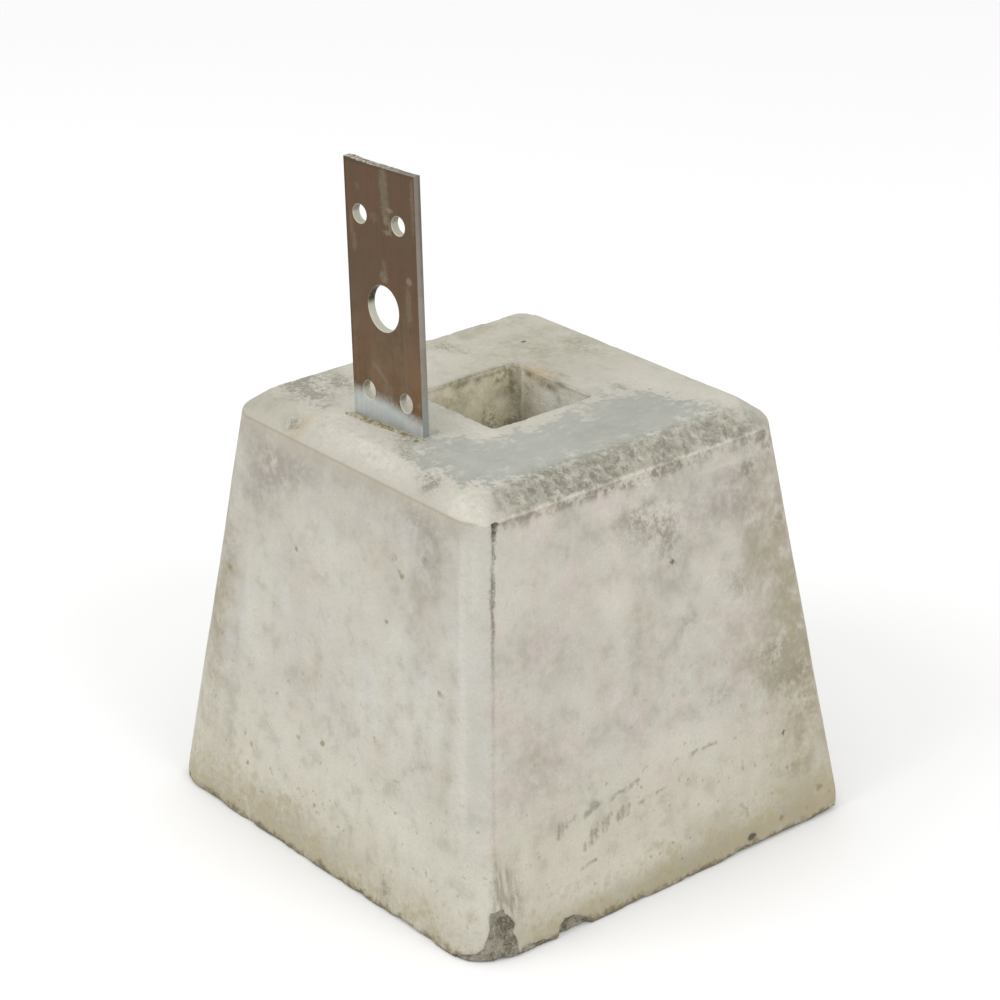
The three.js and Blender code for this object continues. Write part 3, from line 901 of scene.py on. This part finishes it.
def lay_clouds(f):
    """Cream, lilac and beige clouds, duller towards the shoulder and yellower towards the foot, with
    mottling and faint upright bands."""
    f.colour = f.blend(f.span(f.cloud, 0.32, 0.68), rgb(199, 195, 183), rgb(208, 205, 193))
    f.lay(f.span(f.tint, 0.5, 0.75, 0.0, 0.6), rgb(203, 201, 198))
    f.lay(f.span(f.tint, 0.5, 0.25, 0.0, 0.6), rgb(206, 196, 180))
    f.lay(f.span(f.z, 75, 135, 0.0, 0.3), rgb(184, 180, 170))
    f.lay(f.span(f.z, 65, 15, 0.0, 0.6), rgb(215, 210, 192))
    beside = f.blend(f.span(f.tint, 0.36, 0.64), rgb(207, 197, 188), rgb(203, 200, 187))
    beside = f.blend(f.span(f.z, 62, 28, 0.0, 0.65), beside, rgb(205, 199, 178))
    f.lay(f.right_side, beside, 0.85)
    f.lay(f.span(f.mottle, 0.4, 0.85, 0.0, 0.42), rgb(174, 169, 155))
    f.lay(f.span(f.mottle, 0.5, 0.15, 0.0, 0.4), rgb(218, 215, 204))
    bands = f.noise(7.0, 2, 0.5, place=f.stretched((1.0, 1.0, 0.1)))
    f.lay(f.span(bands, 0.45, 0.75, 0.0, 0.25), rgb(184, 178, 163))


def lay_top(f):
    """The dirtier bevel and seat, and the khaki mortise, whose walls carry painted light: far lighter than
    the concrete outside, and paler still towards the rim.
    """
    on_top = f.times(f.span(f.way, 1.99, 2.03), f.span(f.way, 4.02, 3.98))
    dirtied = f.blend(f.span(f.way, 2.96, 3.04), rgb(190, 187, 174), rgb(207, 204, 190))
    f.lay(on_top, dirtied, 0.7)
    # painted light: the mortise's khaki is much lighter than the concrete outside, as if its walls were lit,
    # and palest towards the rim
    lit_khaki = f.blend(f.span(f.mottle, 0.3, 0.7), rgb(237, 230, 202), rgb(228, 221, 193))
    lit_khaki = f.blend(f.span(f.fleck, 0.5, 0.8, 0.0, 0.16), lit_khaki, rgb(180, 172, 140))
    paler_to_rim = f.plus(f.span(f.way, 4.14, 4.0, 0.0, 0.8), f.span(f.mottle, 0.2, 0.8, -0.3, 0.3), clamp=True)
    f.lay(f.in_hole, f.blend(paler_to_rim, lit_khaki, rgb(250, 244, 222)))


def lay_tones(f):
    """The tones: each mark's number, made uneven by mottle and flecks. Two have lighter shades in the
    mortise, as painted light on its walls."""
    # in the mortise the pale and moss shades are lighter: painted light
    pale = f.blend(f.in_hole, rgb(220, 216, 203), rgb(255, 255, 250))
    green = f.blend(f.in_hole, rgb(104, 96, 62), rgb(140, 132, 98))
    for tone, shade, strength in (
        ("mauve", rgb(158, 151, 142), 0.8), ("olive", rgb(160, 152, 125), 0.8), ("pale", pale, 0.85),
        ("orange", rgb(212, 182, 138), 0.75), ("moss", green, 0.85),
    ):
        f.lay(f.times(f.number(tone), f.uneven, clamp=True), shade, strength)


def lay_foot(f):
    """The moist, dirty and yellowish foot, darkest at the very edge."""
    band = f.swayed(f.swayed(f.swayed(f.z, f.mottle, 10.0), f.fleck, 5.0), f.cloud, 5.0, 0.3)
    f.lay(f.span(band, 20, 1, 0.0, 0.65), rgb(166, 155, 120))
    rim = f.swayed(f.swayed(f.z, f.fleck, 1.1, 0.25), f.mottle, 1.2, 0.25)
    f.lay(f.span(rim, 3.4, 0.0, 0.0, 0.85), rgb(108, 98, 74))


def lay_grime(f):
    """Patches of dark specks, and upright streaks beside the broken corner."""
    dirty = f.swayed(f.swayed(f.span(f.mottle, 0.2, 0.8, 0.0, 1.9), f.fleck, 1.1), f.dust, 0.6)
    # grime is lighter in the mortise: painted light on its walls
    shade = f.blend(f.in_hole, rgb(124, 120, 105), rgb(150, 142, 118))
    f.lay(f.times(f.number("grime"), dirty, clamp=True), shade, 0.65)
    thread = f.noise(1.5, 2, 0.5, place=f.stretched((1.0, 1.0, 0.07)))
    streaks = f.times(f.number("streak"), f.span(thread, 0.3, 0.7, -0.1, 1.7), clamp=True)
    f.lay(streaks, rgb(118, 111, 92), 0.52)


def lay_film(f):
    """The smooth grey cement skin of the seat, thin and dusted with cream towards its edge. Returns where
    it lies."""
    film = f.swayed(f.swayed(f.number("film"), f.mottle, 5.0, 0.25), f.fleck, 3.2, 0.25)
    on_film = f.span(film, -1.8, 1.8)
    skin = f.blend(f.span(f.cloud, 0.35, 0.65), rgb(175, 177, 169), rgb(164, 166, 159))
    skin = f.blend(f.span(f.mottle, 0.45, 0.75, 0.0, 0.6), skin, rgb(192, 192, 183))
    skin = f.blend(f.span(f.fleck, 0.35, 0.2, 0.0, 0.5), skin, rgb(156, 157, 150))
    curds = f.noise(3.0, 3, 0.65, place=f.stretched((1.0, 0.6, 1.0)), shift=(0.2, 0.6, 0.1))
    dusted = f.times(f.span(curds, 0.48, 0.68), f.span(film, 15, 0, 0.1, 0.9))
    f.lay(on_film, f.blend(dusted, skin, rgb(208, 205, 193)), 0.92)
    return on_film


def lay_mould(f):
    """The mould of the bevel: a grey veil with dark flecks and cream curds."""
    mould = f.number("mould")
    veil = f.span(f.swayed(mould, f.mottle, 0.35, 0.3), 0.05, 0.9)
    f.lay(veil, rgb(159, 156, 142), 0.8)
    dots = f.swayed(f.span(f.fleck, 0.2, 0.8, -0.35, 0.95), f.dust, 0.45)
    dots = f.plus(dots, f.span(f.mottle, 0.2, 0.8, -0.65, 0.85))
    f.lay(f.times(mould, dots, clamp=True), rgb(116, 114, 100), 0.75)
    curds = f.noise(3.4, 3, 0.65, shift=(0.6, 0.3, 0.8))
    f.lay(f.times(f.span(curds, 0.46, 0.74), veil), rgb(206, 203, 188), 0.75)


def lay_shoulder(f):
    """The shoulder: on the +X side a pale edge over a dark line, on the -Y side a brown line over a dull
    band."""
    off_shoulder = f.math("ABSOLUTE", f.math("SUBTRACT", f.way, 2.0))
    under = f.times(f.span(f.way, 1.94, 1.968), f.span(f.way, 1.985, 1.97), f.right_side)
    f.lay(f.times(under, f.span(f.uneven, 0.8, 1.5, 0.1, 0.6)), rgb(124, 114, 95))
    ridge = f.times(f.span(off_shoulder, 0.035, 0.01), f.right_side, f.span(f.uneven, 0.6, 1.3, 1.1, 0.3))
    f.lay(ridge, rgb(218, 212, 196), 0.6)
    left_side = f.times(f.span(f.y, -64.5, -66.5), f.span(f.way, 2.03, 2.0))
    dull = f.span(f.swayed(f.z, f.mottle, 1.5, 0.3), 135.5, 141.5, 0.0, 0.5)
    f.lay(f.times(dull, left_side), rgb(178, 171, 156))
    f.lay(f.times(f.span(off_shoulder, 0.03, 0.008, 0.0, 0.4), left_side), rgb(162, 146, 118))


def lay_breaks(f):
    """Rough stone in the breaks, in light and dark chunks. Returns where it lies."""
    chunk = f.noise(4.6, 2, 0.5, shift=(0.2, 0.8, 0.3))
    stone = f.blend(f.span(chunk, 0.4, 0.6), rgb(118, 111, 93), rgb(160, 154, 138))
    stone = f.blend(f.span(f.fleck, 0.45, 0.2, 0.0, 0.7), stone, rgb(96, 90, 74))
    stone = f.blend(f.span(f.dust, 0.45, 0.8, 0.0, 0.6), stone, rgb(186, 180, 164))
    torn = f.span(f.number("broken"), -0.1, 0.45)
    f.lay(torn, stone)
    return torn


def lay_seam(f):
    """The mould seam up the front corner, dark in its upper third and all but gone below, and the strip
    beside it, greyer, with a painted highlight along its far edge, where the strip rounds into the -Y wall."""
    from_seam = f.number("seam")
    seam = f.math("ABSOLUTE", f.swayed(from_seam, f.fleck, 0.5, 0.3))
    line = f.times(f.span(seam, 1.4, 0.2), f.span(f.z, 88, 120, 0.2, 1.0), f.span(f.way, 2.0, 1.98))
    line = f.times(line, f.span(f.plus(f.mottle, f.dust), 0.75, 1.05, 0.4, 1.0))
    f.lay(line, rgb(106, 100, 84), 0.72)
    upwards = f.span(f.z, 20, 60, 0.1, 0.35)
    strip = f.times(f.span(from_seam, -12.0, -8.6), f.span(from_seam, 0.2, -1.0))
    f.lay(f.times(strip, f.span(f.way, 1.985, 1.95), upwards), rgb(190, 189, 184))
    # painted highlight where the corner strip rounds into the -Y wall
    strip_edge_highlight = f.span(f.math("ABSOLUTE", f.plus(from_seam, 10.0)), 2.2, 0.2)
    f.lay(f.times(strip_edge_highlight, f.span(f.way, 1.97, 1.9), upwards), rgb(216, 214, 206))


def lay_spots(f):
    """Brown spots, dark spots, which are painted shade where they lie in pits and a chip, and scuffs, all
    with wavering borders, then sparse specks, most of them low on the walls, and dust and fine pores
    everywhere."""
    # the dark spots lay painted shade in the pits and a chip
    for name, low, high, shade, strength in (
        ("brown_spot", -0.3, 0.8, rgb(146, 126, 88), 0.7),
        ("dark_spot_and_pit_shade", 0.0, 0.9, rgb(78, 72, 58), 0.85),
        ("scuff", -0.75, 0.6, rgb(122, 116, 100), 0.55),
    ):
        f.lay(f.span(f.swayed(f.number(name), f.fleck, 0.4, 0.3), low, high), shade, strength)
    specks = f.noise(2.6, 1, 0.5, shift=(0.9, 0.1, 0.5))
    f.lay(f.times(f.span(specks, 0.66, 0.8), f.span(f.z, 100, 30, 0.2, 1.0)), rgb(140, 128, 98), 0.5)
    f.lay(f.span(f.fleck, 0.36, 0.2, 0.0, 0.3), rgb(156, 148, 130))
    f.lay(f.span(f.dust, 0.35, 0.75, 0.0, 0.12), rgb(150, 142, 126))


def concrete_finish():
    """Weathered cast concrete: the layers above in order, fine relief, rougher in the breaks, and a sheen
    that is a little higher on the cement skin."""
    f = Concrete()
    for layer in (lay_clouds, lay_top, lay_tones, lay_foot, lay_grime):
        layer(f)
    on_film = lay_film(f)
    lay_mould(f)
    lay_shoulder(f)
    torn = lay_breaks(f)
    lay_seam(f)
    lay_spots(f)
    height = f.swayed(f.span(f.fleck, 0.2, 0.8, -0.06, 0.06), f.dust, 0.03)
    height = f.plus(height, f.times(torn, f.span(f.fleck, 0.3, 0.7, -0.4, 0.4)))
    return f.close(f.span(on_film, 0.0, 1.0, 0.93, 0.75), height)


def mortar_finish():
    """Yellowish cement paste with brown staining, for the lip at the strap's foot."""
    f = Finish("stained_mortar")
    patch = f.noise(4.5, 3, 0.6)
    crumb = f.noise(1.1, 2, 0.65, shift=(0.4, 0.2, 0.6))
    f.colour = f.blend(f.span(patch, 0.45, 0.62), rgb(188, 182, 158), rgb(164, 147, 106))
    f.lay(f.span(crumb, 0.45, 0.65, 0.0, 0.75), rgb(100, 94, 68))
    return f.close(0.92, f.swayed(f.span(crumb, 0.2, 0.8, -0.12, 0.12), patch, 0.1))


# Steel

# Grey smears on the strap: place across and up, reach across and up, strength
STRAP_SMEARS = [
    (2.4, 82, 2.4, 12, 0.3), (2.8, 76, 2.0, 6, 0.3), (4.4, 74.6, 1.8, 1.0, 0.6), (2.6, 71.5, 1.6, 3.0, 0.45),
    (3.2, 67.0, 2.6, 1.0, 0.45), (4.8, 69.6, 1.4, 2.4, 0.4), (-3.0, 71.0, 2.4, 2.0, 0.15),
    (0.8, 51.8, 2.2, 2.6, 0.4), (1.0, 55.0, 1.2, 3.0, 0.2), (12.4, 52.6, 1.6, 1.4, 0.5),
    (11.8, 44, 1.6, 9, 0.22), (-12.6, 61, 1.4, 4, 0.2), (-13.6, 66, 1.2, 6, 0.15), (15.2, 78, 1.0, 12, 0.25),
    (14.8, 10.5, 1.2, 1.2, 0.3), (0.6, 13, 3, 4, 0.2), (-10, 80, 1.5, 1.5, 0.15), (4.0, 8.6, 2.0, 3.0, 0.2),
]


class Steel(Finish):
    """A finish with the place across (u), through (w) and up (v) the strap, in millimetres, and its
    grains."""

    def __init__(self):
        super().__init__("galvanised_steel_painted_brown_reflection")
        self.u, self.w, self.v = self.number("across"), self.number("depth"), self.number("height")
        sheet = self.add("ShaderNodeCombineXYZ", {"X": self.u, "Y": self.w, "Z": self.v}).outputs[0]
        # this place is in millimetres, so the sizes of the grains are in thousandths of one
        self.drawn = self.noise(1300, 2, 0.6, place=self.stretched((1.0, 1.0, 0.04), sheet))
        wide = self.stretched((1.0, 1.0, 0.35), sheet)
        self.broad = self.noise(9000, 2, 0.55, place=wide, shift=(3.0, 1.0, 5.0))
        self.blotch = self.noise(6000, 3, 0.6, place=sheet, shift=(9.0, 2.0, 7.0))
        self.fine = self.noise(1100, 2, 0.6, place=sheet, shift=(1.0, 8.0, 4.0))

    def offset(self, middle_u, middle_v, reach_u=1.0, reach_v=1.0):
        """How far across and up from a middle, in reaches, and the sum of their squares."""
        a = self.math("DIVIDE", self.math("SUBTRACT", self.u, middle_u), reach_u)
        b = self.math("DIVIDE", self.math("SUBTRACT", self.v, middle_v), reach_v)
        return a, b, self.plus(self.times(a, a), self.times(b, b))


def lay_brown_reflection(f):
    """The brown, a painted reflection of brown surroundings, darker towards the top, with soft blotches and
    faint drawn streaks, more orange low on the right, and painted shade along the left edge."""
    # the brown is a painted reflection of brown surroundings on the galvanised steel, darker towards the top
    f.colour = f.blend(f.span(f.v, 8, 60), rgb(122, 98, 72), rgb(98, 77, 56))
    f.lay(f.span(f.broad, 0.42, 0.64, 0.0, 0.55), rgb(108, 74, 52))
    f.lay(f.span(f.blotch, 0.46, 0.7, 0.0, 0.55), rgb(96, 82, 56))
    f.lay(f.span(f.drawn, 0.35, 0.7, 0.0, 0.2), rgb(80, 62, 46))
    f.lay(f.times(f.span(f.u, 9, 15), f.span(f.v, 34, 14, 0.0, 0.4)), rgb(130, 92, 54))
    # painted shade along the left edge, in its upper part
    f.lay(f.times(f.span(f.u, -14.9, -15.7), f.span(f.v, 10, 30, 0.0, 0.6)), rgb(64, 54, 44))


def lay_smears(f):
    """Grey smears, each an oval with a wavering border, and a curved scratch: part of a ring."""
    smears = []
    for middle_u, middle_v, reach_u, reach_v, strength in STRAP_SMEARS:
        square = f.offset(middle_u, middle_v, reach_u, reach_v)[2]
        smears.append(f.span(f.swayed(square, f.fine, 0.35, 0.3), 1.2, 0.0, 0.0, strength))
    off_ring = f.math("ABSOLUTE", f.math("SUBTRACT", f.math("SQRT", f.offset(-10.5, 9.5)[2]), 11.6))
    scratch = f.times(f.span(off_ring, 1.5, 0.0, 0.0, 0.22), f.span(f.u, -9, -5), f.span(f.v, 13, 16))
    f.lay(f.most(*smears, scratch), rgb(150, 142, 120))


def lay_zinc_and_reflection(f):
    """Light grey at the foot, below a ragged border that dips to the right: the galvanised steel's own grey,
    made lighter by a painted reflection of the block's pale top. Returns where it lies.
    """
    # painted reflection of the block's pale top, over the galvanised steel's grey
    zinc_and_reflection = f.blend(f.span(f.blotch, 0.35, 0.65), rgb(190, 197, 194), rgb(204, 208, 203))
    zinc_and_reflection = f.blend(f.span(f.drawn, 0.4, 0.7, 0.0, 0.12), zinc_and_reflection, rgb(140, 142, 146))
    zinc_and_reflection = f.blend(f.span(f.v, 2.6, 0.2, 0.0, 0.5), zinc_and_reflection, rgb(196, 194, 181))
    to_right = f.span(f.u, -16, 16)
    border = f.swayed(f.swayed(f.v, f.blotch, 0.7, 0.3), f.fine, 0.4, 0.3)
    at_foot = f.span(f.plus(border, f.times(to_right, to_right, 3.9)), 12.4, 6.8)
    f.lay(at_foot, zinc_and_reflection)
    return at_foot


def lay_cut_edges(f):
    """The cut edges, grey and duller towards the top and the back, and the ragged cut at the top, cream
    with dark grains over a dark line. Returns where the edges lie."""
    half = STRAP_THICKNESS / 2
    inset = f.math("SUBTRACT", f.math("ABSOLUTE", f.plus(f.w, half)), half)
    on_edge = f.span(inset, -0.05, -0.22)
    cut = f.blend(f.span(f.v, 30, 88), rgb(158, 150, 140), rgb(134, 125, 114))
    cut = f.blend(f.span(f.blotch, 0.45, 0.65, 0.0, 0.3), cut, rgb(128, 120, 112))
    cut = f.blend(f.times(f.span(f.w, -1.7, -0.9), f.span(f.v, 30, 80, 0.1, 0.65)), cut, rgb(98, 91, 84))
    f.lay(on_edge, f.blend(f.span(f.v, 22, 5), cut, rgb(158, 162, 158)))
    top = f.span(f.v, STRAP_TOP - 0.5, STRAP_TOP - 0.1)
    ragged = f.blend(f.span(f.fine, 0.4, 0.6), rgb(198, 190, 174), rgb(104, 92, 78))
    f.lay(f.times(top, f.span(inset, -0.02, -0.12)), ragged)
    near_top = f.span(f.v, STRAP_TOP - 1.6, STRAP_TOP - 0.3)
    f.lay(f.times(near_top, f.span(inset, -0.12, -0.02, 0.0, 0.5)), rgb(70, 58, 50))
    return on_edge


def lay_hole_walls(f):
    """Walls of the holes: pale, with painted shade at the upper left, most in the bolt hole."""
    walls, painted_shades = [], []
    for hole in [BOLT_HOLE] + NAIL_HOLES:
        a, b, square = f.offset(*hole)
        reach = 0.3 / hole[2]
        wall = f.span(f.math("SQRT", square), 1.0 + reach, 1.0 + 0.4 * reach)
        strength = 1.0 if hole is BOLT_HOLE else 0.4
        # painted shade at the upper left of each hole's wall
        painted_shade = f.times(f.span(b, -0.1, 0.25), f.span(a, 0.3, -0.5), f.span(b, 1.1, 0.5, 0.6, 1.0))
        walls.append(wall)
        painted_shades.append(f.times(painted_shade, wall, strength))
    f.lay(f.most(*walls), rgb(206, 203, 186))
    f.lay(f.times(f.most(*painted_shades), f.span(f.fine, 0.25, 0.6, 0.75, 1.0)), rgb(74, 67, 50))


def strap_finish():
    """Steel strap: the layers above in order, with fine drawn relief and a dull metal sheen."""
    f = Steel()
    lay_brown_reflection(f)
    lay_smears(f)
    at_foot = lay_zinc_and_reflection(f)
    on_edge = lay_cut_edges(f)
    lay_hole_walls(f)
    height = f.swayed(f.span(f.drawn, 0.2, 0.8, -0.01, 0.01), f.fine, 0.012)
    metallic = f.span(f.most(at_foot, on_edge), 0.0, 1.0, 0.45, 0.35)
    return f.close(f.span(f.blotch, 0.3, 0.7, 0.42, 0.58), height, metallic)


# Camera, light and floor

# The camera fitted to the photographed edges: place in metres, turn in degrees and lens in millimetres
CAMERA_PLACE = (0.70958, -0.59353, 0.52339)
CAMERA_AZIMUTH, CAMERA_ELEVATION, CAMERA_ROLL = 50.282, 23.983, -0.391
CAMERA_SENSOR, CAMERA_LENS = 36.0, 107.02
SKY_STRENGTH = 1.06
# Each panel: name, place and size in metres, power in watts
PANELS = (
    ("left_panel", (-0.35, -1.45, 1.15), 1.2, 12.4),
    ("right_panel", (1.5, 0.1, 1.0), 1.0, 9.7),
)
PANELS_AIM = (0, 0, 0.1)
FLOOR_HALF = 4000.0
FLOOR_HEIGHT = -0.02


def set_camera():
    """Camera from the directions of its right, up and back: back points from the block to the camera, and
    right and up are level and upright, then turned by the roll."""
    azimuth, elevation, roll = map(math.radians, (CAMERA_AZIMUTH, CAMERA_ELEVATION, CAMERA_ROLL))
    back = Vector((
        math.sin(azimuth) * math.cos(elevation),
        -math.cos(azimuth) * math.cos(elevation),
        math.sin(elevation),
    ))
    level = Vector((math.cos(azimuth), math.sin(azimuth), 0.0))
    upright = back.cross(level)
    right = level * math.cos(roll) + upright * math.sin(roll)
    up = upright * math.cos(roll) - level * math.sin(roll)
    data = bpy.data.cameras.new("camera")
    data.sensor_width = CAMERA_SENSOR
    data.lens = CAMERA_LENS
    data.clip_start, data.clip_end = 0.05, 50.0
    camera = bpy.data.objects.new("camera", data)
    camera.matrix_world = Matrix.Translation(CAMERA_PLACE) @ Matrix((right, up, back)).transposed().to_4x4()
    bpy.context.scene.collection.objects.link(camera)
    bpy.context.scene.camera = camera


def set_light():
    """White surroundings, with a large soft panel to the left of the camera and a weaker one to the
    right."""
    world = bpy.data.worlds.new("studio")
    bpy.context.scene.world = world
    world.use_nodes = True
    sky = world.node_tree.nodes["Background"]
    sky.inputs["Color"].default_value = (1.0, 1.0, 1.0, 1.0)
    sky.inputs["Strength"].default_value = SKY_STRENGTH
    for name, place, size, power in PANELS:
        data = bpy.data.lights.new(name, "AREA")
        data.shape = "SQUARE"
        data.size = size
        data.energy = power
        panel = bpy.data.objects.new(name, data)
        aim = Vector(PANELS_AIM) - Vector(place)
        panel.matrix_world = Matrix.Translation(place) @ aim.to_track_quat("-Z", "Y").to_matrix().to_4x4()
        bpy.context.scene.collection.objects.link(panel)


def set_floor():
    """Plain pale floor, just under the block."""
    corners = ((-1, -1), (1, -1), (1, 1), (-1, 1))
    points = [(x * FLOOR_HALF, y * FLOOR_HALF, FLOOR_HEIGHT) for x, y in corners]
    floor = make_object("floor", points, [(0, 1, 2, 3)])
    f = Finish("pale_floor")
    f.colour = f.blend(f.noise(400, 2), (0.79, 0.79, 0.79, 1), (0.805, 0.805, 0.8, 1))
    floor.data.materials.append(f.close(0.8, specular=0.5))


block = build_block()
block.data.materials.append(concrete_finish())
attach(block, "root")
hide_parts("concrete_block")

lip = build_mortar_lip()
lip.data.materials.append(mortar_finish())
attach(lip, "root")

strap = build_strap()
strap.data.materials.append(strap_finish())
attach(strap, "root")
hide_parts("strap_plate")

set_camera()
set_light()
set_floor()
bpy.context.scene.view_settings.view_transform = "Standard"
